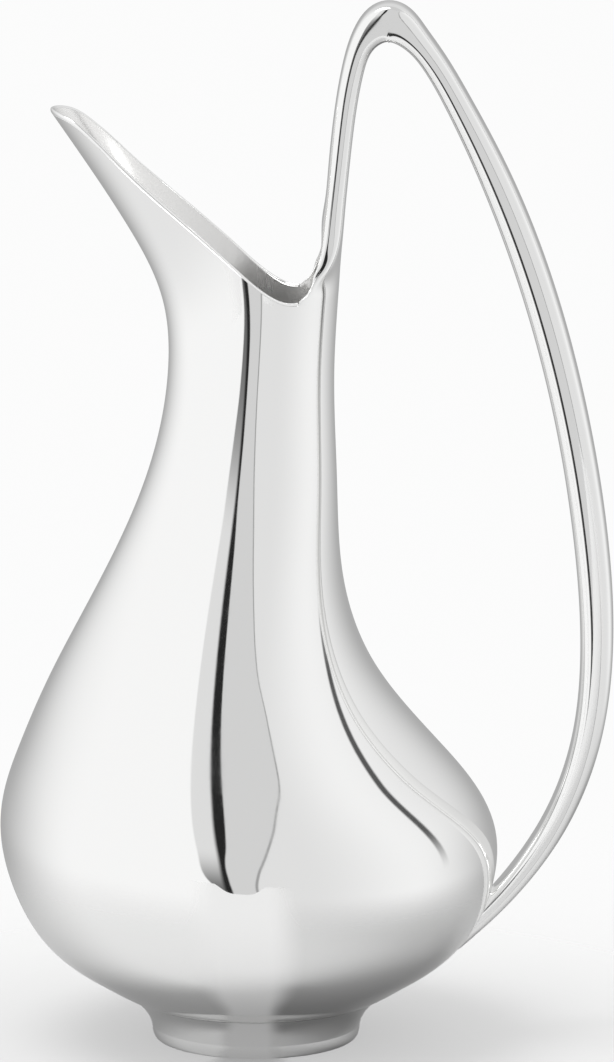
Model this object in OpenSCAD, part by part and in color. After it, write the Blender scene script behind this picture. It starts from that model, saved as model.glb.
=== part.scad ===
// Swan-necked water pitcher in silver: a round-bellied vessel drawn up into a narrow neck,
// a long open spout, a hollow looped handle that grows out of the back of the neck, and a ring foot.
// X runs from the spout (-) to the handle (+), Y is the side, Z is up.
// The origin is the centre of the foot, on the surface that the pitcher stands on.

/* [Vessel] */
// Thickness of the silver sheet of the bowl and the neck
wall = 1.2; // [0.8:0.1:1.6]
// Height of the rounded wire soldered along the mouth's edge
rim_height = 0.8; // [0.6:0.1:1.2]
// Height of the lowest point of the mouth's edge, in front of the handle
saddle_height = 206.6; // [203:0.1:209]
// Distance of that lowest point behind the foot's centre
saddle_x = 10.5; // [8:0.1:12]

/* [Handle] */
// Thickness of the two half shells of the hollow handle
handle_wall = 1.0; // [0.7:0.1:1.2]
// Length of the solder fillet where the handle's tail lands on the belly
fillet = 1.8; // [1:0.1:3]

/* [Foot] */
// Radius of the foot's flat underside, at its outer edge
foot_radius = 27.2; // [26:0.1:28]
// Height of the wire ring that the pitcher stands on
foot_wire_height = 3.6; // [2.5:0.1:4.5]

/* [Hidden] */

// Outline of the vessel, from the floor's centre out and up: height, spout side x, handle side x,
// half depth, and the x at which the section is deepest. The first station mirrors the second, so the
// floor is level at its centre.
VESSEL_STATIONS = [
    [8.4, 14, -14, -14, 0],
    [8.4, -14, 14, 14, 0],
    [10, -30, 30, 30, 0],
    [17.2, -44, 43.8, 44, -0.1],
    [33, -61.8, 60.8, 61, -0.5],
    [56.5, -69.7, 65.7, 65.5, -2.2],
    [80, -65, 51.2, 57.5, -6],
    [104, -54.5, 32.2, 43, -7],
    [130, -41, 23.6, 29.5, -4.9],
    [157, -29.4, 22.1, 21.5, -2.3],
    [185, -23.7, 21.4, 18.5, -0.5],
    [205, -25.1, 22.4, 18, 0],
    [225, -34.4, 24, 19.3, -2.4],
    [243, -46, 25.8, 22.7, -5.6],
    [259, -57, 27.5, 25.5, -8]
];
// The station where the bowl ends and the neck begins, and the start of the round floor
SEAM_STATION = 7;
floor_start = 0.7;

// The mouth's edge seen from the side: x, height. The saddle is its lowest station, and the last two
// mirror the rise before it, so the edge is level there.
MOUTH_STATIONS = [
    [-62, 257],
    [-55.5, 256.8],
    [-49.5, 255.1],
    [-45, 251.9],
    [-39.5, 247],
    [-34, 241.7],
    [-23, 232.1],
    [-5, 216.5],
    [4, 209.1],
    [saddle_x, saddle_height],
    [2 * saddle_x - 4, 209.1],
    [2 * saddle_x + 5, 216.5]
];
SADDLE_STATION = 9;

// The handle's centre line and sections, from the neck's back, over the top and down to the belly:
// x, z, thickness, half width, bend of the back face, bend of the front face, squareness
HANDLE_STATIONS = [
    [21.85, saddle_height - rim_height, 1.2, 15.4, 9, 9, 0.5],
    [21.9, 206.8, 1.25, 15.1, 8.8, 9.3, 0.5],
    [21.95, 208.6, 1.4, 13.9, 7.4, 8.3, 0.5],
    [21.9, 211, 1.8, 12.9, 5.8, 6.9, 0.5],
    [21.7, 215, 2.8, 11, 3, 4.7, 0.5],
    [21.15, 219.5, 4.7, 8.9, 0.8, 1.8, 0.45],
    [20.95, 225, 6, 7.6, 0, 0, 0.4],
    [21.7, 232, 5.7, 6.8, 0, 0, 0.4],
    [22.5, 240, 5.7, 6.4, 0, 0, 0.4],
    [24.4, 257, 5.9, 6.4, 0, 0, 0.4],
    [26.4, 268, 6.1, 6.4, 0, 0, 0.4],
    [29.6, 276.4, 7.5, 6.6, 0, 0, 0.4],
    [36, 280.9, 10.8, 6.8, 0, 0, 0.4],
    [42.9, 276.7, 7.9, 6.8, 0, 0, 0.4],
    [48, 270.3, 6.8, 6.6, 0, 0, 0.4],
    [54.5, 259.2, 7.1, 6.5, 0, 0, 0.4],
    [64.3, 239.5, 8.3, 6.5, 0, 0, 0.4],
    [76.9, 206.4, 9.2, 6.7, 0, 0, 0.4],
    [85.6, 173, 9.3, 7, 0, 0, 0.4],
    [91.1, 139.3, 9.4, 7.2, 0, 0, 0.4],
    [92.8, 105.5, 8.8, 7.2, 0, 0, 0.4],
    [89.9, 82.2, 7.8, 7, 0, 0, 0.4],
    [81.1, 59.2, 6.8, 6.6, 0, 0, 0.4],
    [73.5, 47.6, 6.3, 6.4, 0, 0, 0.4],
    [65, 37.6, 5.8, 6.4, 0, 0, 0.4],
    [54, 27.2, 5.4, 6.4, 0, 0, 0.4]
];
// Height over which the handle's section turns from the neck's own wall into its own oval
blend_height = 9.5;
// Power of the rounding at the sides of the strip of wall that the root stands on
strip_power = 8;
// How far round the tail the fillet runs from its inner face, each way
fillet_angle = 105;
// The station where the solid root ends and the two hollow halves begin, and the one past which the
// tail's lines may run into the belly, all below the landing's height
ROOT_STATION = 7;
TAIL_STATION = 21;
landing_height = 56;

// Foot: radius where the wire meets the collar, radius of the collar's inside and of its top, then
// radius and height of the corners that its rounded edges bend towards and of its recess
foot_outer = 28.5;
collar_inner = 26.2;
collar_top_radius = 34.5;
under_radius = 33;
FLARE_BEND = [29.6, 8.2];
EDGE_BEND = [28.3, 0];
RECESS_BEND = [24.4, 2.4];
RECESS_LOW = [24.4, 0.6];
REST_START = [24.8, 0];
// The station above which the belly is no longer its underside
UNDER_STATION = 4;

// Facets: round the vessel, up the bowl, up the neck, round the handle's half, along it, along the root
around = 48;
bowl_rows = 20;
neck_rows = 22;
half_round = 8;
handle_rows = 56;
root_rows = 14;
crowding = 0.1;
crowd_phase = -0.22;
rim_round = 5;
fillet_steps = 24;
bisections = 24;

// ---- Smooth curves through stations -------------------------------------------------------------

function chord(P, k) = k == 0 ? 0 : chord(P, k - 1) + norm(P[k] - P[k - 1]);

// Natural cubic spline: the forward sweep and the back substitution of its tridiagonal system
function sweep(t, P, i) =
    i == 0 ? [0, 0 * P[0]] :
    let (before = sweep(t, P, i - 1),
         low = t[i] - t[i - 1],
         high = t[i + 1] - t[i],
         pivot = 2 * (low + high) - low * before[0],
         change = 6 * ((P[i + 1] - P[i]) / high - (P[i] - P[i - 1]) / low))
    [high / pivot, (change - low * before[1]) / pivot];
function bending(rows, i) =
    i >= len(rows) ? 0 * rows[0][1] :
    rows[i][1] - rows[i][0] * bending(rows, i + 1);
function curve(P) =
    let (n = len(P) - 1,
         t = [for (k = [0:n]) chord(P, k)],
         rows = [for (i = [0:n - 1]) sweep(t, P, i)])
    [t, P, [for (i = [0:n]) i == 0 ? 0 * P[0] : bending(rows, i)]];
function span(t, s, i = 0) = (i >= len(t) - 2 || s < t[i + 1]) ? i : span(t, s, i + 1);
function at(c, s) =
    let (t = c[0],
         i = span(t, s),
         h = t[i + 1] - t[i],
         a = (t[i + 1] - s) / h,
         b = (s - t[i]) / h)
    a * c[1][i] + b * c[1][i + 1] + ((a ^ 3 - a) * c[2][i] + (b ^ 3 - b) * c[2][i + 1]) * h * h / 6;

function unit(v) = v / norm(v);
function mix(a, b, k) = a * (1 - k) + b * k;
function smooth(k) = k <= 0 ? 0 : k >= 1 ? 1 : k ^ 3 * (10 - 15 * k + 6 * k ^ 2);

// ---- Vessel surface -----------------------------------------------------------------------------

VESSEL = curve(VESSEL_STATIONS);
MOUTH = curve(MOUTH_STATIONS);
top = VESSEL[0][len(VESSEL[0]) - 1];
floor_t = floor_start * VESSEL[0][1];
seam_t = VESSEL[0][SEAM_STATION];

// A point of the vessel's outer surface: angle 0 is the spout side, 180 the handle side
function vessel(t, angle) =
    let (v = at(VESSEL, t),
         centre = (v[1] + v[2]) / 2)
    [centre - (v[2] - v[1]) / 2 * cos(angle) + (v[4] - centre) * sin(angle) ^ 2, v[3] * sin(angle), v[0]];
function vessel_normal(t, angle) =
    let (rise = vessel(t + 0.1, angle) - vessel(t - 0.1, angle),
         turn = vessel(t, angle + 0.5) - vessel(t, angle - 0.5))
    unit(cross(rise, turn));
function lining(t, angle, depth = wall) = vessel(t, angle) - depth * vessel_normal(t, angle);

// The mouth's height at x: the curve up to the saddle, level behind it
function find_x(x, low, high, n) =
    n == 0 ? (low + high) / 2 :
    let (middle = (low + high) / 2)
    at(MOUTH, middle)[0] > x ? find_x(x, low, middle, n - 1) : find_x(x, middle, high, n - 1);
function mouth(x) =
    x >= saddle_x ? saddle_height :
    at(MOUTH, find_x(x, 0, MOUTH[0][SADDLE_STATION], bisections))[1];

// Where the surface meets the mouth's edge lowered by drop
function trim(angle, drop, low = seam_t, high = top, n = bisections) =
    n == 0 ? (low + high) / 2 :
    let (middle = (low + high) / 2,
         p = vessel(middle, angle))
    p[2] > mouth(p[0]) - drop ? trim(angle, drop, low, middle, n - 1)
                              : trim(angle, drop, middle, high, n - 1);

// ---- Handle surface -----------------------------------------------------------------------------

HANDLE = curve(HANDLE_STATIONS);
root_end = HANDLE[0][ROOT_STATION];
handle_end = HANDLE[0][len(HANDLE[0]) - 1];
root_level = HANDLE_STATIONS[0][1];

// The vessel's parameter at a height, in its neck
function neck_t(z, low = seam_t, high = top, n = bisections) =
    n == 0 ? (low + high) / 2 :
    let (middle = (low + high) / 2)
    at(VESSEL, middle)[0] > z ? neck_t(z, low, middle, n - 1) : neck_t(z, middle, high, n - 1);

// A unit wave swelled by a squareness of 0 to 0.5: a sine and a cosine of it draw an ellipse at 0 and
// a rounded rectangle with slightly crowned sides at 0.5
function swell(wave, squareness) = wave * (1 + squareness * (1 - wave ^ 2));

// The strip of the neck's own wall that the root stands on, full thickness nearly to its sides
function strip(h, angle) =
    let (t = neck_t(h[1]),
         turn = asin(min(0.99, h[3] / at(VESSEL, t)[3])),
         ends = max(0, 1 - abs(sin(angle)) ^ strip_power) ^ (1 / strip_power))
    lining(t, 180 - turn * sin(angle), wall / 2 * (1 - sign(cos(angle)) * ends));

// A point of the handle's surface, depth below it: angle 0 is the face towards the loop's inside
function oval(s, h, angle, depth) =
    let (d = at(HANDLE, s + 0.1) - at(HANDLE, s - 0.1),
         along = unit([d[0], d[1]]),
         inward = [along[1], -along[0]],
         side = swell(sin(angle), h[6]),
         fore = swell(cos(angle), h[6]),
         bend = (h[4] * (1 + fore) + h[5] * (1 - fore)) / 2,
         u = (h[2] / 2 - depth) * fore - bend * side ^ 2)
    [h[0] + inward[0] * u, (h[3] - depth) * side, h[1] + inward[1] * u];
function handle(s, angle, depth = 0) =
    let (h = at(HANDLE, s),
         k = smooth((h[1] - root_level) / blend_height),
         own = oval(s, h, angle, depth))
    (k >= 1 || s > root_end) ? own : mix(strip(h, angle), own, k);

// Where a line of the handle's surface runs into the belly
function inside_belly(p) =
    let (v = at(VESSEL, belly_t(p[2])),
         centre = (v[1] + v[2]) / 2,
         u = (p[0] - centre - (v[4] - centre) * (p[1] / v[3]) ^ 2) / ((v[2] - v[1]) / 2))
    p[2] < landing_height && u ^ 2 + (p[1] / v[3]) ^ 2 < 1;
function belly_t(z, low = VESSEL[0][1], high = seam_t, n = bisections) =
    n == 0 ? (low + high) / 2 :
    let (middle = (low + high) / 2)
    at(VESSEL, middle)[0] > z ? belly_t(z, low, middle, n - 1) : belly_t(z, middle, high, n - 1);
function landing(angle, depth, low = HANDLE[0][TAIL_STATION], high = handle_end, n = 16) =
    n == 0 ? (low + high) / 2 :
    let (middle = (low + high) / 2)
    inside_belly(handle(middle, angle, depth)) ? landing(angle, depth, low, middle, n - 1)
                                               : landing(angle, depth, middle, high, n - 1);

// ---- Foot -----------------------------------------------------------------------------------------

// Height of the belly's underside at a distance from the axis
function belly_at(r, low = VESSEL[0][1], high = VESSEL[0][UNDER_STATION], n = bisections) =
    n == 0 ? (low + high) / 2 :
    let (middle = (low + high) / 2)
    at(VESSEL, middle)[3] > r ? belly_at(r, low, middle, n - 1) : belly_at(r, middle, high, n - 1);
function belly_z(r) = at(VESSEL, belly_at(r))[0];
collar_top = [collar_top_radius, belly_z(collar_top_radius)];

// ---- Solids from rings of points ----------------------------------------------------------------

// A closed skin over rings of m points each, with flat ends
module loft(rings) {
    m = len(rings[0]);
    last = len(rings) - 1;
    points = [for (ring = rings) for (p = ring) p];
    sides = [for (i = [0:last - 1]) for (j = [0:m - 1])
        let (a = i * m + j, b = i * m + (j + 1) % m)
        each [[a, a + m, b], [b, a + m, b + m]]];
    first_end = [for (j = [0:m - 1]) j];
    last_end = [for (j = [m - 1:-1:0]) last * m + j];
    polyhedron(points, concat(sides, [first_end, last_end]));
}

// A shell between two sets of rings that run up its outside and its inside, joined along their
// edges at the top, and at the bottom too unless the shell has a floor
module wall_of(outside, inside, floored) {
    m = len(outside[0]);
    last = len(outside) - 1;
    n = m * (last + 1);
    points = concat([for (ring = outside) for (p = ring) p], [for (ring = inside) for (p = ring) p]);
    // The quads between the ring of points that starts at a and the one that starts at b
    function band(a, b) = [for (j = [0:m - 1]) [a + j, a + (j + 1) % m, b + (j + 1) % m, b + j]];
    outer = [for (i = [0:last - 1]) each band(i * m, (i + 1) * m)];
    inner = [for (i = [0:last - 1]) each band(n + (i + 1) * m, n + i * m)];
    lip = band(last * m, n + last * m);
    hem = band(n, 0);
    floors = [[for (j = [m - 1:-1:0]) j], [for (j = [0:m - 1]) n + j]];
    quads = concat(outer, inner, lip, floored ? [] : hem);
    halves = [for (q = quads) each [[q[0], q[1], q[3]], [q[1], q[2], q[3]]]];
    polyhedron(points, concat(halves, floored ? floors : []));
}

// ---- The pieces ---------------------------------------------------------------------------------

angles = [for (j = [0:around - 1]) j * 360 / around];

module body_bowl() {
    rows = [for (i = [0:bowl_rows]) mix(floor_t, seam_t, i / bowl_rows)];
    color("gainsboro")
        wall_of([for (t = rows) [for (a = angles) vessel(t, a)]],
                [for (t = rows) [for (a = angles) lining(t, a)]], true);
}

module neck_and_spout() {
    ends = [for (a = angles) trim(a, rim_height)];
    function row(i) = [for (j = [0:around - 1]) mix(seam_t, ends[j], i / neck_rows)];
    columns = [0:around - 1];
    outside = [for (i = [0:neck_rows]) let (t = row(i)) [for (j = columns) vessel(t[j], angles[j])]];
    inside = [for (i = [0:neck_rows]) let (t = row(i)) [for (j = columns) lining(t[j], angles[j])]];
    color("silver") wall_of(outside, inside, false);
}

module rim_wire() {
    root = at(HANDLE, 0);
    end = 180 - asin(root[3] / at(VESSEL, neck_t(root_level))[3]);
    steps = 2 * around;
    function section(angle) =
        let (low = trim(angle, rim_height),
             outer = vessel(low, angle),
             inner = lining(low, angle),
             crown = lining(trim(angle, 0), angle, wall / 2),
             middle = (outer + inner) / 2)
        [for (k = [0:rim_round])
            let (turn = 180 * k / rim_round)
            middle + (outer - inner) / 2 * cos(turn) + (crown - middle) * sin(turn)];
    color("whitesmoke") loft([for (i = [0:steps]) section(mix(-end, end, i / steps))]);
}

module handle_root() {
    ring = [for (j = [0:4 * half_round - 1]) j * 90 / half_round];
    color("lightgray") loft([for (i = [0:root_rows]) [for (a = ring) handle(root_end * i / root_rows, a)]]);
}

// The share of the handle's length at row share u: the rows crowd round the tight bend at its top
function row_share(u) = u + crowding * (sin(360 * (u - crowd_phase)) + sin(360 * crowd_phase));

// One half of the hollow handle, from the root to where each of its lines lands on the belly
module handle_half(side) {
    ring = [for (j = [0:2 * half_round]) side * j * 90 / half_round];
    outer_end = [for (a = ring) landing(a, 0)];
    inner_end = [for (a = ring) landing(a, handle_wall)];
    last = 2 * half_round;
    sections = [for (i = [0:handle_rows])
        let (k = row_share(i / handle_rows))
        concat([for (j = [0:last]) handle(mix(root_end, outer_end[j], k), ring[j])],
               [for (j = [last:-1:0]) handle(mix(root_end, inner_end[j], k), ring[j], handle_wall)])];
    loft(side > 0 ? sections : [for (i = [handle_rows:-1:0]) sections[i]]);
}

module handle_left_half() {
    color("darkgray") handle_half(-1);
}

module handle_right_half() {
    color("silver") handle_half(1);
}

// The solder fillet round the inner side of the tail: from the tail's face to the belly's
module tail_fillet() {
    function section(angle) =
        let (reach = fillet * (0.15 + 0.85 * cos(angle * 90 / fillet_angle) ^ 2),
             land = landing(angle, 0),
             corner = handle(land, angle),
             on_tail = handle(land - reach, angle),
             on_belly = handle(landing(angle, -reach), angle, -reach))
        [corner, on_tail, mix(corner, (on_tail + on_belly) / 2, 0.55), on_belly];
    color("lightgray")
        loft([for (i = [0:fillet_steps]) section(mix(-fillet_angle, fillet_angle, i / fillet_steps))]);
}

function bezier(a, b, c, k) = mix(mix(a, b, k), mix(b, c, k), k);

// The flared band between the foot's wire and the belly, whose top follows the belly's underside
module foot_collar() {
    flare = [for (k = [0:0.125:1]) bezier([foot_outer, foot_wire_height], FLARE_BEND, collar_top, k)];
    under = [for (r = [under_radius:-1:collar_inner]) [r, belly_z(r)]];
    inside = [[collar_inner, belly_z(collar_inner)], [collar_inner, foot_wire_height]];
    color("darkgray") rotate_extrude($fn = 96) polygon(concat(flare, under, inside));
}

// The heavier ring that the pitcher stands on, flat underneath and rounded at its outer edge
module foot_wire() {
    edge = [for (k = [0:0.125:1]) bezier([foot_radius, 0], EDGE_BEND, [foot_outer, foot_wire_height], k)];
    inside = [for (k = [0:0.25:1]) bezier([collar_inner, foot_wire_height], RECESS_BEND, RECESS_LOW, k)];
    color("silver") rotate_extrude($fn = 96) polygon(concat([REST_START], edge, inside));
}

body_bowl();
neck_and_spout();
rim_wire();
handle_root();
handle_left_half();
handle_right_half();
tail_fillet();
foot_collar();
foot_wire();
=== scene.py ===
"""A silver water pitcher: smooth polished skins over the CAD frame, a satin lining, and a white studio.

The skins follow the same curves as the CAD solids, so they share the stations of part.scad.
Lengths are in millimetres until a mesh is made, and in metres from there on.
"""
import math

import bpy
import numpy as np
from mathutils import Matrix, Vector


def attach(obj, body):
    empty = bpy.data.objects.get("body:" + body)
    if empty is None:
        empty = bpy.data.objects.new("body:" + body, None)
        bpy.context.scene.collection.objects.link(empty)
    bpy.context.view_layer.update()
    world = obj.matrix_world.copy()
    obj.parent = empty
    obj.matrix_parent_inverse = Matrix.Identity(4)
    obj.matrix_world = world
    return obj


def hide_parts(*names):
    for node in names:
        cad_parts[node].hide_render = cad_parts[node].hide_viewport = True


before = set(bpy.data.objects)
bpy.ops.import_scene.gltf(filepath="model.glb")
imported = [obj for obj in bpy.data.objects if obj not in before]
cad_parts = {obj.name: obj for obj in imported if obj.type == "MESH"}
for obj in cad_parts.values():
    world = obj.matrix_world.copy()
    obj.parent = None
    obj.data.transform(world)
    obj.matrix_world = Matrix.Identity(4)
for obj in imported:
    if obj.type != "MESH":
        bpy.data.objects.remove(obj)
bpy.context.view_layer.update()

MM = 0.001

# ---- Driving shapes, as in the CAD source -------------------------------------------------------

WALL = 1.2
RIM_HEIGHT = 0.8
SADDLE_X, SADDLE_HEIGHT = 10.5, 206.6
HANDLE_WALL = 1.0
FILLET, FILLET_LEAST = 1.8, 0.15
FILLET_ANGLE = 105
FOOT_RADIUS, FOOT_OUTER, FOOT_WIRE_HEIGHT, COLLAR_INNER = 27.2, 28.5, 3.6, 26.2
COLLAR_TOP_RADIUS = 34.5
FLARE_BEND, EDGE_BEND, RECESS_BEND = [29.6, 8.2], [28.3, 0], [24.4, 2.4]
RECESS_LOW, REST_START = [24.4, 0.6], [24.8, 0]
BLEND_HEIGHT = 9.5
STRIP_POWER = 8
SEAM_STATION = 7
ROOT_STATION = 7
FLOOR_START = 0.7

# Height, spout side x, handle side x, half depth, x of the deepest point
VESSEL_STATIONS = [
    [8.4, 14, -14, -14, 0],
    [8.4, -14, 14, 14, 0],
    [10, -30, 30, 30, 0],
    [17.2, -44, 43.8, 44, -0.1],
    [33, -61.8, 60.8, 61, -0.5],
    [56.5, -69.7, 65.7, 65.5, -2.2],
    [80, -65, 51.2, 57.5, -6],
    [104, -54.5, 32.2, 43, -7],
    [130, -41, 23.6, 29.5, -4.9],
    [157, -29.4, 22.1, 21.5, -2.3],
    [185, -23.7, 21.4, 18.5, -0.5],
    [205, -25.1, 22.4, 18, 0],
    [225, -34.4, 24, 19.3, -2.4],
    [243, -46, 25.8, 22.7, -5.6],
    [259, -57, 27.5, 25.5, -8],
]
# The mouth's edge in side view: x, height
MOUTH_STATIONS = [
    [-62, 257],
    [-55.5, 256.8],
    [-49.5, 255.1],
    [-45, 251.9],
    [-39.5, 247],
    [-34, 241.7],
    [-23, 232.1],
    [-5, 216.5],
    [4, 209.1],
    [SADDLE_X, SADDLE_HEIGHT],
    [2 * SADDLE_X - 4, 209.1],
    [2 * SADDLE_X + 5, 216.5],
]
SADDLE_STATION = 9
# Handle: x, z, thickness, half width, bend of the back face, bend of the front face, squareness
HANDLE_STATIONS = [
    [21.85, SADDLE_HEIGHT - RIM_HEIGHT, 1.2, 15.4, 9, 9, 0.5],
    [21.9, 206.8, 1.25, 15.1, 8.8, 9.3, 0.5],
    [21.95, 208.6, 1.4, 13.9, 7.4, 8.3, 0.5],
    [21.9, 211, 1.8, 12.9, 5.8, 6.9, 0.5],
    [21.7, 215, 2.8, 11, 3, 4.7, 0.5],
    [21.15, 219.5, 4.7, 8.9, 0.8, 1.8, 0.45],
    [20.95, 225, 6, 7.6, 0, 0, 0.4],
    [21.7, 232, 5.7, 6.8, 0, 0, 0.4],
    [22.5, 240, 5.7, 6.4, 0, 0, 0.4],
    [24.4, 257, 5.9, 6.4, 0, 0, 0.4],
    [26.4, 268, 6.1, 6.4, 0, 0, 0.4],
    [29.6, 276.4, 7.5, 6.6, 0, 0, 0.4],
    [36, 280.9, 10.8, 6.8, 0, 0, 0.4],
    [42.9, 276.7, 7.9, 6.8, 0, 0, 0.4],
    [48, 270.3, 6.8, 6.6, 0, 0, 0.4],
    [54.5, 259.2, 7.1, 6.5, 0, 0, 0.4],
    [64.3, 239.5, 8.3, 6.5, 0, 0, 0.4],
    [76.9, 206.4, 9.2, 6.7, 0, 0, 0.4],
    [85.6, 173, 9.3, 7, 0, 0, 0.4],
    [91.1, 139.3, 9.4, 7.2, 0, 0, 0.4],
    [92.8, 105.5, 8.8, 7.2, 0, 0, 0.4],
    [89.9, 82.2, 7.8, 7, 0, 0, 0.4],
    [81.1, 59.2, 6.8, 6.6, 0, 0, 0.4],
    [73.5, 47.6, 6.3, 6.4, 0, 0, 0.4],
    [65, 37.6, 5.8, 6.4, 0, 0, 0.4],
    [54, 27.2, 5.4, 6.4, 0, 0, 0.4],
]
# The handle's stretch in which its lines run into the belly, all of them below a height
TAIL_STATION = 21
LANDING_TOP = 56


# ---- Curves -------------------------------------------------------------------------------------

class Curve:
    """A natural cubic spline through stations, with the distance between stations as its parameter."""

    def __init__(self, stations):
        self.points = np.array(stations, float)
        steps = np.linalg.norm(np.diff(self.points, axis=0), axis=1)
        self.knots = np.concatenate([[0], np.cumsum(steps)])
        n = len(steps)
        system = np.eye(n + 1)
        right = np.zeros_like(self.points)
        for i in range(1, n):
            low, high = steps[i - 1], steps[i]
            system[i, i - 1:i + 2] = low, 2 * (low + high), high
            slopes = np.diff(self.points[i - 1:i + 2], axis=0) / [[low], [high]]
            right[i] = 6 * (slopes[1] - slopes[0])
        self.bends = np.linalg.solve(system, right)
        self.end = self.knots[-1]

    def __call__(self, t):
        t = np.asarray(t, float)
        i = np.clip(np.searchsorted(self.knots, t, side="right") - 1, 0, len(self.knots) - 2)
        h = (self.knots[i + 1] - self.knots[i])[..., None]
        a = (self.knots[i + 1] - t)[..., None] / h
        b = 1 - a
        return (a * self.points[i] + b * self.points[i + 1]
                + ((a ** 3 - a) * self.bends[i] + (b ** 3 - b) * self.bends[i + 1]) * h * h / 6)


def bisect(too_far, low, high, shape, steps=40):
    """The parameter at which too_far turns true, for an array of lines."""
    low, high = np.full(shape, float(low)), np.full(shape, float(high))
    for _ in range(steps):
        middle = (low + high) / 2
        far = too_far(middle)
        high = np.where(far, middle, high)
        low = np.where(far, low, middle)
    return (low + high) / 2


def smooth(k):
    k = np.clip(k, 0, 1)
    return k ** 3 * (10 - 15 * k + 6 * k ** 2)


def unit(v):
    return v / np.linalg.norm(v, axis=-1, keepdims=True)


# ---- Vessel surface -----------------------------------------------------------------------------

VESSEL = Curve(VESSEL_STATIONS)
MOUTH = Curve(MOUTH_STATIONS)
SEAM = VESSEL.knots[SEAM_STATION]


def vessel(t, angle):
    """The vessel's outer surface: angle 0 is the spout side, pi the handle side."""
    z, left, right, depth, deepest = np.moveaxis(VESSEL(t), -1, 0)
    centre = (left + right) / 2
    x = centre - (right - left) / 2 * np.cos(angle) + (deepest - centre) * np.sin(angle) ** 2
    return np.stack([x, depth * np.sin(angle), z], -1)


def vessel_normal(t, angle):
    rise = vessel(t + 0.02, angle) - vessel(t - 0.02, angle)
    turn = vessel(t, angle + 0.001) - vessel(t, angle - 0.001)
    return unit(np.cross(rise, turn))


def lining(t, angle, depth=WALL):
    return vessel(t, angle) - np.asarray(depth)[..., None] * vessel_normal(t, angle)


MOUTH_LINE = MOUTH(np.linspace(0, MOUTH.knots[SADDLE_STATION], 2000))


def mouth(x):
    return np.where(x >= SADDLE_X, SADDLE_HEIGHT, np.interp(x, MOUTH_LINE[:, 0], MOUTH_LINE[:, 1]))


def trim(angle, drop):
    """Where the surface meets the mouth's edge lowered by drop."""
    def above(t):
        p = vessel(t, angle)
        return p[..., 2] > mouth(p[..., 0]) - drop
    return bisect(above, SEAM, VESSEL.end, np.shape(angle))


def level(z, low, high):
    """The vessel's parameter at a height."""
    t = np.linspace(low, high, 6000)
    return np.interp(z, VESSEL(t)[:, 0], t)


# ---- Handle surface -----------------------------------------------------------------------------

HANDLE = Curve(HANDLE_STATIONS)
ROOT_END = HANDLE.knots[ROOT_STATION]
ROOT_LEVEL = SADDLE_HEIGHT - RIM_HEIGHT


def swell(wave, squareness):
    """A unit wave swelled so that it draws a rounded rectangle instead of an ellipse."""
    return wave * (1 + squareness * (1 - wave ** 2))


def strip(h, angle):
    """The strip of the neck's own wall that the handle's root stands on."""
    t = level(h[..., 1], SEAM, VESSEL.end)
    turn = np.arcsin(np.minimum(0.99, h[..., 3] / VESSEL(t)[..., 3]))
    ends = np.maximum(0, 1 - np.abs(np.sin(angle)) ** STRIP_POWER) ** (1 / STRIP_POWER)
    return lining(t, math.pi - turn * np.sin(angle), WALL / 2 * (1 - np.sign(np.cos(angle)) * ends))


def oval(s, h, angle, depth):
    d = HANDLE(s + 0.05) - HANDLE(s - 0.05)
    along = unit(d[..., :2])
    side = swell(np.sin(angle), h[..., 6])
    fore = swell(np.cos(angle), h[..., 6])
    bend = (h[..., 4] * (1 + fore) + h[..., 5] * (1 - fore)) / 2
    u = (h[..., 2] / 2 - depth) * fore - bend * side ** 2
    x, z = h[..., 0] + along[..., 1] * u, h[..., 1] - along[..., 0] * u
    return np.stack([x, (h[..., 3] - depth) * side, z], -1)


def handle(s, angle, depth=0.0):
    """The handle's surface, depth below it: angle 0 is the face towards the inside of the loop."""
    s, angle = np.broadcast_arrays(np.asarray(s, float), angle)
    h = HANDLE(s)
    own = oval(s, h, angle, depth)
    k = np.where(s > ROOT_END, 1, smooth((h[..., 1] - ROOT_LEVEL) / BLEND_HEIGHT))[..., None]
    return np.where(k < 1, strip(h, angle) * (1 - k) + own * k, own)


def inside_belly(p):
    x, y, z = np.moveaxis(p, -1, 0)
    _, left, right, depth, deepest = np.moveaxis(VESSEL(level(z, VESSEL.knots[1], SEAM)), -1, 0)
    centre = (left + right) / 2
    u = (x - centre - (deepest - centre) * (y / depth) ** 2) / ((right - left) / 2)
    return (z < LANDING_TOP) & (u ** 2 + (y / depth) ** 2 < 1)


def landing(angle, depth=0.0):
    """Where a line of the handle's surface runs into the belly."""
    def landed(s):
        return inside_belly(handle(s, angle, depth))
    return bisect(landed, HANDLE.knots[TAIL_STATION], HANDLE.end, np.shape(angle), 30)


# ---- Making meshes ------------------------------------------------------------------------------

WELD = 1e-4
NUDGE_ALONG, NUDGE_ROUND = 0.02, 0.0005
OUTSIDE, INSIDE = 0, 1


class Patch:
    """A grid of points of a piece's skin, with their normals and the number of their material."""

    def __init__(self, points, normals, material=OUTSIDE):
        self.points = points
        self.normals = normals
        self.material = material


def curved(surface, along, across, turned=False, material=OUTSIDE):
    """A patch of a curved surface; turned flips the side that its normals point to."""
    along, across = np.broadcast_arrays(along, across)
    rise = surface(along + NUDGE_ALONG, across) - surface(along - NUDGE_ALONG, across)
    turn = surface(along, across + NUDGE_ROUND) - surface(along, across - NUDGE_ROUND)
    normals = unit(np.cross(rise, turn))
    return Patch(surface(along, across), -normals if turned else normals, material)


def flat(first, second, facing, material=OUTSIDE):
    """A narrow band between two lines of points, which faces one way or one way at each point."""
    points = np.stack(np.broadcast_arrays(first, second))
    return Patch(points, np.broadcast_to(facing, points.shape), material)


def fan(ring, facing, material=OUTSIDE):
    """A ring filled in to its middle."""
    return flat(ring, ring.mean(0), facing, material)


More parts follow.
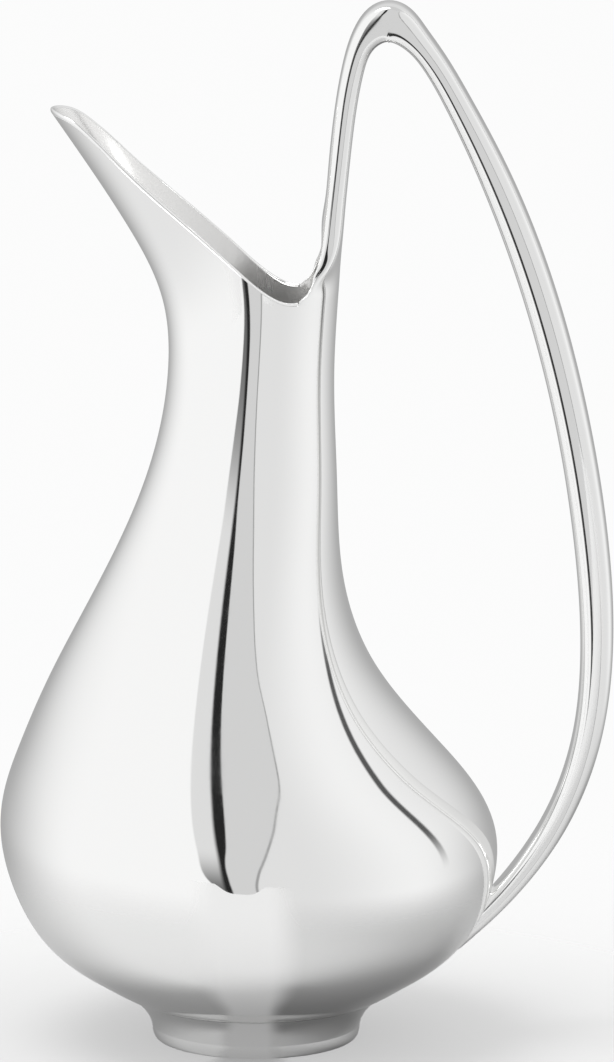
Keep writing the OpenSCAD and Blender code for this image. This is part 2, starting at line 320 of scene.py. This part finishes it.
def quads_of(patch):
    """Point numbers of the grid's quads, wound so that they face along the normals."""
    rows, columns = patch.points.shape[:2]
    index = np.arange(rows * columns).reshape(rows, columns)
    quads = np.stack([index[:-1, :-1], index[1:, :-1], index[1:, 1:], index[:-1, 1:]], -1).reshape(-1, 4)
    points, normals = patch.points.reshape(-1, 3), patch.normals.reshape(-1, 3)
    facing = np.cross(points[quads[:, 2]] - points[quads[:, 0]], points[quads[:, 3]] - points[quads[:, 1]])
    backward = (facing * normals[quads].sum(1)).sum() < 0
    return quads[:, ::-1] if backward else quads


def skin(name, node, patches, materials):
    """One closed piece from patches that meet edge to edge, in place of a CAD node."""
    points = np.concatenate([p.points.reshape(-1, 3) for p in patches])
    normals = np.concatenate([p.normals.reshape(-1, 3) for p in patches])
    starts = np.cumsum([0] + [p.points.shape[0] * p.points.shape[1] for p in patches])
    quads = [quads_of(p) + start for p, start in zip(patches, starts)]
    kinds = np.repeat([p.material for p in patches], [len(q) for q in quads])
    _, keep, weld = np.unique(np.round(points / WELD), axis=0, return_index=True, return_inverse=True)
    weld = weld.ravel()
    faces, corners, face_kinds = [], [], []
    for quad, kind in zip(np.concatenate(quads), kinds):
        fresh = [k for k in range(4) if weld[quad[k]] != weld[quad[k - 1]]]
        if len(fresh) > 2:
            faces.append([weld[quad[k]] for k in fresh])
            corners.extend(quad[k] for k in fresh)
            face_kinds.append(kind)
    mesh = bpy.data.meshes.new(name)
    mesh.from_pydata((points[keep] * MM).tolist(), [], faces)
    mesh.polygons.foreach_set("material_index", np.array(face_kinds, np.int32))
    mesh.polygons.foreach_set("use_smooth", np.ones(len(faces), bool))
    mesh.normals_split_custom_set(normals[corners].tolist())
    for material in materials:
        mesh.materials.append(material)
    piece = bpy.data.objects.new(name, mesh)
    bpy.context.scene.collection.objects.link(piece)
    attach(piece, "root")
    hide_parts(node)
    return piece


def spread(low, high, count):
    """Rows of a grid from low to high, where either may differ from column to column."""
    share = np.linspace(0, 1, count + 1)[:, None]
    return low + (high - low) * share


# ---- Bowl and neck ------------------------------------------------------------------------------

AROUND = 240
BOWL_ROWS, NECK_ROWS = 90, 120
FLOOR_T = FLOOR_START * VESSEL.knots[1]
ROUND = np.linspace(0, 2 * math.pi, AROUND + 1)
UP, DOWN = [0, 0, 1], [0, 0, -1]


def vessel_faces(first, last, rows):
    """The outer and inner faces of the vessel between two parameters."""
    along = spread(first, last, rows)
    return [curved(vessel, along, ROUND), curved(lining, along, ROUND, turned=True, material=INSIDE)]


def bowl_patches():
    outer, inner = vessel_faces(FLOOR_T, SEAM, BOWL_ROWS)
    floors = [fan(outer.points[0], DOWN), fan(inner.points[0], UP, INSIDE)]
    return [outer, inner, flat(outer.points[-1], inner.points[-1], UP)] + floors


def neck_patches():
    outer, inner = vessel_faces(SEAM, trim(ROUND, RIM_HEIGHT), NECK_ROWS)
    hem = flat(outer.points[0], inner.points[0], DOWN)
    return [outer, inner, hem, flat(outer.points[-1], inner.points[-1], UP)]


# ---- Rim ----------------------------------------------------------------------------------------

RIM_STEPS, RIM_ROUND = 420, 12
ROOT_HALF_WIDTH = HANDLE_STATIONS[0][3]


def rim_section(turn, angle):
    """The half-round wire on the mouth's edge: turn 0 is its outer side, pi its inner side."""
    low = trim(angle, RIM_HEIGHT)
    outer, inner = vessel(low, angle), lining(low, angle)
    crown = lining(trim(angle, 0), angle, WALL / 2)
    middle = (outer + inner) / 2
    across = (outer - inner) / 2 * np.cos(turn)[..., None]
    return middle + across + (crown - middle) * np.sin(turn)[..., None]


def rim_patches():
    root_depth = VESSEL(level(ROOT_LEVEL, SEAM, VESSEL.end))[3]
    end = math.pi - math.asin(ROOT_HALF_WIDTH / root_depth)
    angle = np.linspace(-end, end, RIM_STEPS + 1)
    wire = curved(rim_section, np.linspace(0, math.pi, RIM_ROUND + 1)[:, None], angle[None], turned=True)
    line = wire.points[:, 0], wire.points[:, -1]
    runs = line[0][0] - wire.points[0, 1], line[1][0] - wire.points[0, -2]
    cuts = [fan(ring, unit(run)) for ring, run in zip(line, runs)]
    return [wire, flat(wire.points[0], wire.points[-1], DOWN)] + cuts


# ---- Handle -------------------------------------------------------------------------------------

ROOT_ROUND, ROOT_ROWS = 128, 72
HALF_ROUND, HANDLE_ROWS = 36, 260
ROOT_CROWDING = 0.42
TROUGH_TOP, TROUGH_SHARE = 220.5, 0.8
CROWDING, CROWD_PHASE = 0.1, -0.22
FILLET_STEPS, FILLET_ROUND = 96, 10


def piece_of(patch, rows, columns, material=OUTSIDE):
    return Patch(patch.points[rows, columns], patch.normals[rows, columns], material)


def root_patches():
    """The solid root, with the satin trough that carries the neck's lining up its front face."""
    turn = np.linspace(-math.pi / 2, 1.5 * math.pi, ROOT_ROUND + 1)
    turn = turn + ROOT_CROWDING * np.sin(2 * turn)
    body = curved(handle, spread(0, ROOT_END, ROOT_ROWS), turn, turned=True)
    half = ROOT_ROUND // 2 + 1
    ends = [(body.points[0], DOWN), (body.points[-1], UP)]
    caps = [flat(ring[:half], ring[::-1][:half], facing) for ring, facing in ends]
    trough = np.flatnonzero((np.cos(turn) < 0) & (np.abs(np.sin(turn)) < TROUGH_SHARE))
    left, right = trough[0], trough[-1]
    top = np.searchsorted(body.points[:, (left + right) // 2, 2], TROUGH_TOP)
    return caps + [
        piece_of(body, slice(None), slice(None, left + 1)),
        piece_of(body, slice(None), slice(right, None)),
        piece_of(body, slice(None, top + 1), slice(left, right + 1), INSIDE),
        piece_of(body, slice(top, None), slice(left, right + 1))]


def row_share(count):
    """Shares of the handle's length that crowd round the tight bend at its top."""
    u = np.linspace(0, 1, count + 1)[:, None]
    turn = 2 * math.pi
    return u + CROWDING * (np.sin(turn * (u - CROWD_PHASE)) + math.sin(turn * CROWD_PHASE))


def half_patches(side):
    """One half shell of the hollow handle, open towards the other half."""
    turn = side * np.linspace(0, math.pi, HALF_ROUND + 1)
    share = row_share(HANDLE_ROWS)

    def inner_face(along, across):
        return handle(along, across, HANDLE_WALL)

    outer = curved(handle, ROOT_END + (landing(turn) - ROOT_END) * share, turn, turned=True)
    end = landing(turn, HANDLE_WALL)
    inner = curved(inner_face, ROOT_END + (end - ROOT_END) * share, turn, material=INSIDE)
    across = [0, -side, 0]
    joints = [flat(outer.points[:, k], inner.points[:, k], across) for k in (0, -1)]
    ends = [flat(outer.points[k], inner.points[k], facing) for k, facing in ((0, DOWN), (-1, [-1, 0, 0]))]
    return [outer, inner] + joints + ends


def bezier(a, b, c, k):
    """A point of the curve from a to c that heads for b."""
    return (a * (1 - k) + b * k) * (1 - k) + (b * (1 - k) + c * k) * k


def fillet_section(across, angle):
    """The hollow face of the solder fillet: across 0 is on the tail, 1 on the belly."""
    turn = np.radians(angle)
    taper = np.cos(angle * math.pi / 2 / FILLET_ANGLE) ** 2
    reach = FILLET * (FILLET_LEAST + (1 - FILLET_LEAST) * taper)
    land = landing(turn)
    corner = handle(land, turn)
    on_tail = handle(land - reach, turn)
    on_belly = handle(landing(turn, -reach), turn, -reach)
    return corner, bezier(on_tail, corner, on_belly, across[..., None])


def fillet_patches():
    angle = np.linspace(-FILLET_ANGLE, FILLET_ANGLE, FILLET_STEPS + 1)[None]
    across = np.linspace(0, 1, FILLET_ROUND + 1)[:, None]

    def face(across, angle):
        across, angle = np.broadcast_arrays(across, angle)
        return fillet_section(across, angle)[1]

    front = curved(face, across, angle)
    corner = fillet_section(np.zeros_like(angle), angle)[0][0]
    tail_side = flat(front.points[0], corner, UP)
    belly_side = flat(corner, front.points[-1], DOWN)
    cuts = [flat(front.points[:, k], corner[k], [1, 0, 0]) for k in (0, -1)]
    return [front, tail_side, belly_side] + cuts


# ---- Foot ---------------------------------------------------------------------------------------

FOOT_ROUND, FOOT_ROWS = 192, 16


def belly_height(radius):
    """Height of the belly's underside at a distance from the axis."""
    t = np.linspace(VESSEL.knots[1], VESSEL.knots[4], 2000)
    v = VESSEL(t)
    return np.interp(radius, v[:, 3], v[:, 0])


def turned_band(outline):
    """A band turned round the axis from an outline of radius and height, which runs anticlockwise."""
    outline = np.array(outline, float)
    run = np.gradient(outline, axis=0)
    facing = unit(np.stack([run[:, 1], -run[:, 0]], -1))
    turn = np.linspace(0, 2 * math.pi, FOOT_ROUND + 1)
    compass = np.stack([np.cos(turn), np.sin(turn), np.zeros_like(turn)], -1)[None]

    def spun(pairs):
        return pairs[:, :1, None] * compass + pairs[:, 1:, None] * np.array(UP)

    return Patch(spun(outline), spun(facing))


def bend(a, b, c):
    """An outline's rounded stretch from a to c."""
    k = np.linspace(0, 1, FOOT_ROWS + 1)[:, None]
    return bezier(np.array(a, float), np.array(b, float), np.array(c, float), k)


def collar_patches():
    low = FOOT_WIRE_HEIGHT
    flare = bend([FOOT_OUTER, low], FLARE_BEND, [COLLAR_TOP_RADIUS, belly_height(COLLAR_TOP_RADIUS)])
    under = [[r, belly_height(r)] for r in np.linspace(COLLAR_TOP_RADIUS, COLLAR_INNER, FOOT_ROWS + 1)]
    inner = [under[-1], [COLLAR_INNER, low]]
    return [turned_band(line) for line in (flare, under, inner, [inner[-1], [FOOT_OUTER, low]])]


def wire_patches():
    high = FOOT_WIRE_HEIGHT
    edge = bend([FOOT_RADIUS, 0], EDGE_BEND, [FOOT_OUTER, high])
    inside = bend([COLLAR_INNER, high], RECESS_BEND, RECESS_LOW)
    loop = [edge, [edge[-1], inside[0]], inside, [inside[-1], REST_START], [REST_START, edge[0]]]
    return [turned_band(line) for line in loop]


# ---- Materials ----------------------------------------------------------------------------------

def add(tree, kind, **inputs):
    """A new shader node with some of its inputs set or linked."""
    node = tree.nodes.new(kind)
    for name, value in inputs.items():
        join(tree, node.inputs[name.replace("_", " ")], value)
    return node


def join(tree, socket, value):
    if isinstance(value, bpy.types.NodeSocket):
        tree.links.new(value, socket)
    else:
        socket.default_value = value


def calculate(tree, operation, *values):
    node = tree.nodes.new("ShaderNodeMath")
    node.operation = operation
    for socket, value in zip(node.inputs, values):
        join(tree, socket, value)
    return node.outputs[0]


def ranged(tree, value, low, high, new_low, new_high):
    """A value moved from one range to another, smoothly between its ends."""
    node = tree.nodes.new("ShaderNodeMapRange")
    node.interpolation_type = "SMOOTHSTEP"
    for socket, number in zip(node.inputs, (value, low, high, new_low, new_high)):
        join(tree, socket, number)
    return node.outputs[0]


def noise(tree, scale, detail, stretch=(1, 1, 1)):
    """Noise over the object's own space, with scale in features per metre."""
    place = add(tree, "ShaderNodeTexCoord").outputs["Object"]
    grid = add(tree, "ShaderNodeMapping", Vector=place, Scale=stretch)
    cloud = add(tree, "ShaderNodeTexNoise", Vector=grid.outputs[0], Scale=scale, Detail=detail)
    return cloud.outputs["Fac"]


def silver(name, colour, rough, brushed, wave_height, metal=1):
    """Silver: rough is the lowest and highest roughness, brushed the depth of its fine lines in metres."""
    material = bpy.data.materials.new(name)
    material.use_nodes = True
    tree = material.node_tree
    shader = tree.nodes["Principled BSDF"]
    shader.inputs["Metallic"].default_value = metal
    shader.inputs["Base Color"].default_value = (*colour, 1)
    cloudy = noise(tree, CLOUD_SCALE, 4)
    lines = noise(tree, LINE_SCALE, 3, LINE_STRETCH)
    mixed = calculate(tree, "MULTIPLY_ADD", lines, LINE_SHARE, cloudy)
    join(tree, shader.inputs["Roughness"], ranged(tree, mixed, *CLOUD_RANGE, *rough))
    waves = add(tree, "ShaderNodeBump", Height=noise(tree, WAVE_SCALE, 1), Distance=wave_height)
    fine = add(tree, "ShaderNodeBump", Height=lines, Distance=brushed, Normal=waves.outputs[0])
    join(tree, shader.inputs["Normal"], fine.outputs[0])
    return material


CLOUD_SCALE, WAVE_SCALE = 45, 24
LINE_SCALE, LINE_STRETCH, LINE_SHARE = 900, (1, 1, 0.06), 0.5
CLOUD_RANGE = (0.5, 1.1)
LINING_METAL = 0.7

POLISHED = silver("polished_silver", (0.955, 0.955, 0.95), (0.02, 0.07), 0.4e-6, 12e-6)
LINING = silver("satin_lining", (0.95, 0.945, 0.935), (0.16, 0.3), 2e-6, 20e-6, LINING_METAL)
RIM = silver("bright_rim", (0.97, 0.97, 0.965), (0.05, 0.1), 0.4e-6, 2e-6)
FOOT = silver("foot_silver", (0.93, 0.93, 0.925), (0.08, 0.16), 1e-6, 8e-6)

skin("bowl_skin", "body_bowl", bowl_patches(), [POLISHED, LINING])
skin("neck_skin", "neck_and_spout", neck_patches(), [POLISHED, LINING])
skin("rim_bead", "rim_wire", rim_patches(), [RIM])
skin("root_skin", "handle_root", root_patches(), [POLISHED, LINING])
skin("handle_skin_left", "handle_left_half", half_patches(-1), [POLISHED, LINING])
skin("handle_skin_right", "handle_right_half", half_patches(1), [POLISHED, LINING])
skin("tail_solder", "tail_fillet", fillet_patches(), [POLISHED])
skin("collar_skin", "foot_collar", collar_patches(), [FOOT])
skin("foot_ring_skin", "foot_wire", wire_patches(), [FOOT])


# ---- Studio -------------------------------------------------------------------------------------
# White panels stand all round under a grey ceiling, darker behind and low on the right, and a soft
# key light hangs high on the left. In front there is a gap between two panels, with a dark post in
# it, and a narrow dark flag stands on the right. Directions are in degrees:
# azimuth 0 is towards the camera and positive to its right, and elevation is above level.

LEFT_WHITE, RIGHT_WHITE, SIDE_WHITE, CEILING_GREY = 0.96, 0.77, 0.92, 0.62
BACK_LOW, BACK_HIGH = 0.42, 0.72
LOW_LEFT, LOW_RIGHT = 0.84, 0.32
RIGHT_TURN, BACK_TURN, BACK_RISE, LOW_TURN, LOW_RISE = (25, 85), (82, 165), (-5, 25), (0, 110), (-10, -40)
SHADE_RISE, CEILING_EDGE, CEILING_SOFTNESS = (-10, 22), 58, 14
FLAG_AZIMUTH, FLAG_HALF_WIDTH, FLAG_SOFTNESS, FLAG_TONE = 103, 2.2, 2, 0.1
FLAG_FOOT, FLAG_FADE = 10, 30
SHADE_LOW, SHADE_HIGH, GAP_GREY, DARK, POST_SHADE = 0.15, 0.75, 0.66, 0.02, 2.4
EDGE_TONE, EDGE_STRENGTH, EDGE_WIDTH = 0.05, 0.55, 0.6
PANEL_SOFTNESS, GAP_SOFTNESS, WALL_SOFTNESS = 10, 1.2, 1
KEY_AZIMUTH, KEY_ELEVATION, KEY_RADIUS, KEY_SOFTNESS, KEY_LIGHT = -75, 74, 16, 5, 5
BACKGROUND = 0.97

# Azimuths of the upright edges, at a few elevations
GAP_LEFT = [(-90, -10), (-14, -10), (-6, -13), (2, -17), (20, -20), (50, -27), (90, -40)]
POST_LEFT = [(-90, -8), (-12, -8.3), (0, -9.3), (15, -10.2), (30, -11.5), (50, -13), (90, -16)]
POST_RIGHT = [(-90, -5), (-12, -5), (0, -6.4), (12, -7.2), (25, -6), (90, -6)]
GAP_RIGHT = [(-90, 7), (-14, 7), (-6, 5.5), (4, 6.5), (14, 9.5), (36, 20), (44, 26.5), (50, 37), (90, 60)]


def degrees_of(tree, value):
    return calculate(tree, "MULTIPLY", value, 180 / math.pi)


def azimuth_of(tree, x, y):
    return degrees_of(tree, calculate(tree, "ARCTAN2", x, calculate(tree, "MULTIPLY", y, -1)))


def upright(tree, elevation, points):
    """The azimuth of an edge at each elevation, on a curve through points of (elevation, azimuth)."""
    node = tree.nodes.new("ShaderNodeFloatCurve")
    line = node.mapping.curves[0]
    for _ in points[2:]:
        line.points.new(0, 0)
    for knot, (high, turn) in zip(line.points, points):
        knot.location = (high + 90) / 180, (turn + 90) / 180
    node.mapping.update()
    join(tree, node.inputs["Value"], calculate(tree, "MULTIPLY_ADD", elevation, 1 / 180, 0.5))
    return calculate(tree, "MULTIPLY_ADD", node.outputs[0], 180, -90)


def past(tree, value, limit, softness):
    """0 below a limit and 1 above it, soft over a few degrees."""
    step = calculate(tree, "SUBTRACT", value, limit)
    return ranged(tree, step, -softness / 2, softness / 2, 0, 1)


def within(tree, value, middle, half_width, softness):
    """1 near a middle value and 0 away from it."""
    away = calculate(tree, "ABSOLUTE", calculate(tree, "SUBTRACT", value, middle))
    return ranged(tree, away, half_width - softness / 2, half_width + softness / 2, 1, 0)


def blend_of(tree, share, low, high):
    node = tree.nodes.new("ShaderNodeMix")
    for socket, value in zip((node.inputs[0], node.inputs[2], node.inputs[3]), (share, low, high)):
        join(tree, socket, value)
    return node.outputs[0]


def panels(tree, azimuth, elevation):
    """The panels all round: whitest on the left, greyer on the right and behind."""
    side = calculate(tree, "ABSOLUTE", azimuth)
    right = blend_of(tree, ranged(tree, side, *RIGHT_TURN, 0, 1), RIGHT_WHITE, SIDE_WHITE)
    light = blend_of(tree, past(tree, azimuth, 0, PANEL_SOFTNESS), LEFT_WHITE, right)
    back = ranged(tree, elevation, *BACK_RISE, BACK_LOW, BACK_HIGH)
    light = blend_of(tree, ranged(tree, side, *BACK_TURN, 0, 1), light, back)
    side_share = ranged(tree, azimuth, *LOW_TURN, LOW_LEFT, LOW_RIGHT)
    low = blend_of(tree, ranged(tree, elevation, *LOW_RISE, 0, 1), 1, side_share)
    light = calculate(tree, "MULTIPLY", light, low)
    flag = within(tree, azimuth, FLAG_AZIMUTH, FLAG_HALF_WIDTH, FLAG_SOFTNESS)
    flag = calculate(tree, "MULTIPLY", flag, past(tree, elevation, FLAG_FOOT, FLAG_FADE))
    return blend_of(tree, flag, light, FLAG_TONE)


def front_gap(tree, azimuth, elevation, light):
    """The gap in front: shaded on its left, then the post, then a grey wall and a thin dark edge."""
    gap_right = upright(tree, elevation, GAP_RIGHT)
    shade = ranged(tree, elevation, *SHADE_RISE, SHADE_LOW, SHADE_HIGH)
    post_left, post_right = upright(tree, elevation, POST_LEFT), upright(tree, elevation, POST_RIGHT)
    gap_left = upright(tree, elevation, GAP_LEFT)
    gap = blend_of(tree, past(tree, azimuth, post_left, POST_SHADE), shade, DARK)
    gap = blend_of(tree, past(tree, azimuth, post_right, WALL_SOFTNESS), gap, GAP_GREY)
    light = blend_of(tree, past(tree, azimuth, gap_left, GAP_SOFTNESS), light, gap)
    panel = panels(tree, azimuth, elevation)
    light = blend_of(tree, past(tree, azimuth, gap_right, WALL_SOFTNESS), light, panel)
    edge = within(tree, azimuth, gap_right, EDGE_WIDTH, EDGE_WIDTH)
    return blend_of(tree, calculate(tree, "MULTIPLY", edge, EDGE_STRENGTH), light, EDGE_TONE)


def key_light(tree, way, light):
    turn, rise = math.radians(KEY_AZIMUTH), math.radians(KEY_ELEVATION)
    toward = tree.nodes.new("ShaderNodeVectorMath")
    toward.operation = "DOT_PRODUCT"
    join(tree, toward.inputs[0], way)
    toward.inputs[1].default_value = (
        math.sin(turn) * math.cos(rise), -math.cos(turn) * math.cos(rise), math.sin(rise))
    away = degrees_of(tree, calculate(tree, "ARCCOSINE", toward.outputs["Value"]))
    share = ranged(tree, away, KEY_RADIUS - KEY_SOFTNESS, KEY_RADIUS + KEY_SOFTNESS, 1, 0)
    return blend_of(tree, share, light, KEY_LIGHT)


def studio():
    """The light of the room by direction, as grey levels; the camera sees plain white behind the part."""
    world = bpy.data.worlds.new("studio")
    bpy.context.scene.world = world
    world.use_nodes = True
    tree = world.node_tree
    way = add(tree, "ShaderNodeTexCoord").outputs["Generated"]
    x, y, z = add(tree, "ShaderNodeSeparateXYZ", Vector=way).outputs
    azimuth = azimuth_of(tree, x, y)
    elevation = degrees_of(tree, calculate(tree, "ARCSINE", z))
    light = front_gap(tree, azimuth, elevation, panels(tree, azimuth, elevation))
    light = blend_of(tree, past(tree, elevation, CEILING_EDGE, CEILING_SOFTNESS), light, CEILING_GREY)
    light = key_light(tree, way, light)
    seen = add(tree, "ShaderNodeLightPath").outputs["Is Camera Ray"]
    join(tree, tree.nodes["Background"].inputs["Color"], blend_of(tree, seen, light, BACKGROUND))


# Where the floor fades away, and the notch in front of it where the gap looks in
FLOOR_SIZE, FLOOR_NEAR, FLOOR_FAR, FLOOR_POWER = 1, 0.07, 0.32, 3
NOTCH_AZIMUTH, NOTCH_HALF_WIDTH, NOTCH_SOFTNESS = -2, 16, 14
NOTCH_REACH, NOTCH_CURVE, NOTCH_SPREAD, NOTCH_EDGE = 0.38, 6, 0.06, 0.012
FLOOR_GREY, FLOOR_SHARE, FLOOR_ROUGHNESS = 0.86, 0.5, 0.9
# Painted light: how brightly and in what white the front of the floor glows, weaker close to the pitcher
# and stronger further out
GLOW_WHITE, GLOW_NEAR, GLOW_FAR, GLOW_REACH = 0.85, 0.34, 0.62, (0.07, 0.32)


def lay_floor():
    """A pale, half transparent floor that fades into the white of the room, but is solid in front, where
    it glows with painted light.
    """
    mesh = bpy.data.meshes.new("floor")
    corners = [(-1, -1), (1, -1), (1, 1), (-1, 1)]
    mesh.from_pydata([(FLOOR_SIZE * x, FLOOR_SIZE * y, 0) for x, y in corners], [], [range(4)])
    floor = bpy.data.objects.new("floor", mesh)
    bpy.context.scene.collection.objects.link(floor)
    material = bpy.data.materials.new("pale_floor")
    material.use_nodes = True
    tree = material.node_tree
    shader = tree.nodes["Principled BSDF"]
    shader.inputs["Roughness"].default_value = FLOOR_ROUGHNESS
    shader.inputs["Specular IOR Level"].default_value = 0
    # Painted light: in front the floor glows, standing in for the white of the room in the pitcher's
    # reflections, and its grey is lowered there by as much
    shader.inputs["Emission Color"].default_value = (GLOW_WHITE, GLOW_WHITE, GLOW_WHITE, 1)
    share, floor_glow = floor_shares(tree)
    join(tree, shader.inputs["Alpha"], share)
    grey = calculate(tree, "MULTIPLY_ADD", floor_glow, -FLOOR_GREY, FLOOR_GREY)
    join(tree, shader.inputs["Base Color"], grey)
    join(tree, shader.inputs["Emission Strength"], floor_glow)
    mesh.materials.append(material)


def floor_shares(tree):
    """How solid the floor is: a slow fade all round, and a sharp curved edge in front. Then how much
    of it glows: painted light, an emission on the floor that stands in for the white of the room where the
    floor is solid."""
    place = add(tree, "ShaderNodeTexCoord").outputs["Object"]
    x, y, z = add(tree, "ShaderNodeSeparateXYZ", Vector=place).outputs
    distance = tree.nodes.new("ShaderNodeVectorMath")
    distance.operation = "LENGTH"
    join(tree, distance.inputs[0], place)
    away = distance.outputs["Value"]
    azimuth = azimuth_of(tree, x, y)
    off = calculate(tree, "DIVIDE", calculate(tree, "SUBTRACT", azimuth, NOTCH_AZIMUTH), NOTCH_CURVE)
    bulge = calculate(tree, "POWER", calculate(tree, "ABSOLUTE", off), 4)
    spread = calculate(tree, "MULTIPLY", bulge, NOTCH_SPREAD)
    past_edge = calculate(tree, "SUBTRACT", calculate(tree, "SUBTRACT", away, spread), NOTCH_REACH)
    notch = ranged(tree, past_edge, -NOTCH_EDGE, NOTCH_EDGE, 1, 0)
    slow = calculate(tree, "POWER", ranged(tree, away, FLOOR_NEAR, FLOOR_FAR, 1, 0), FLOOR_POWER)
    in_front = within(tree, azimuth, NOTCH_AZIMUTH, NOTCH_HALF_WIDTH, NOTCH_SOFTNESS)
    share = blend_of(tree, in_front, calculate(tree, "MULTIPLY", slow, FLOOR_SHARE), notch)
    # Painted light: the floor's glow, in the front notch only, weaker close to the pitcher and stronger
    # further out
    floor_glow = ranged(tree, away, *GLOW_REACH, GLOW_NEAR, GLOW_FAR)
    return share, calculate(tree, "MULTIPLY", in_front, floor_glow)


# ---- Camera -------------------------------------------------------------------------------------

AIM = Vector((0.014, 0, 0.141))
DISTANCE = 2.65
LOOK_AZIMUTH, LOOK_ELEVATION = 1.2, 11.5
SENSOR, VIEW_HEIGHT = 36, 0.2886
CLIP_NEAR, CLIP_FAR = 0.01, 20


def place_camera():
    data = bpy.data.cameras.new("camera")
    camera = bpy.data.objects.new("camera", data)
    bpy.context.scene.collection.objects.link(camera)
    bpy.context.scene.camera = camera
    data.sensor_width = SENSOR
    data.lens = SENSOR * DISTANCE / VIEW_HEIGHT
    turn, rise = math.radians(LOOK_AZIMUTH), math.radians(LOOK_ELEVATION)
    back = Vector((math.sin(turn) * math.cos(rise), -math.cos(turn) * math.cos(rise), math.sin(rise)))
    camera.location = AIM + back * DISTANCE
    camera.rotation_euler = (-back).to_track_quat("-Z", "Y").to_euler()
    data.clip_start, data.clip_end = CLIP_NEAR, CLIP_FAR


bpy.context.scene.view_settings.view_transform = "Standard"
bpy.context.scene.cycles.caustics_reflective = False
studio()
lay_floor()
place_camera()
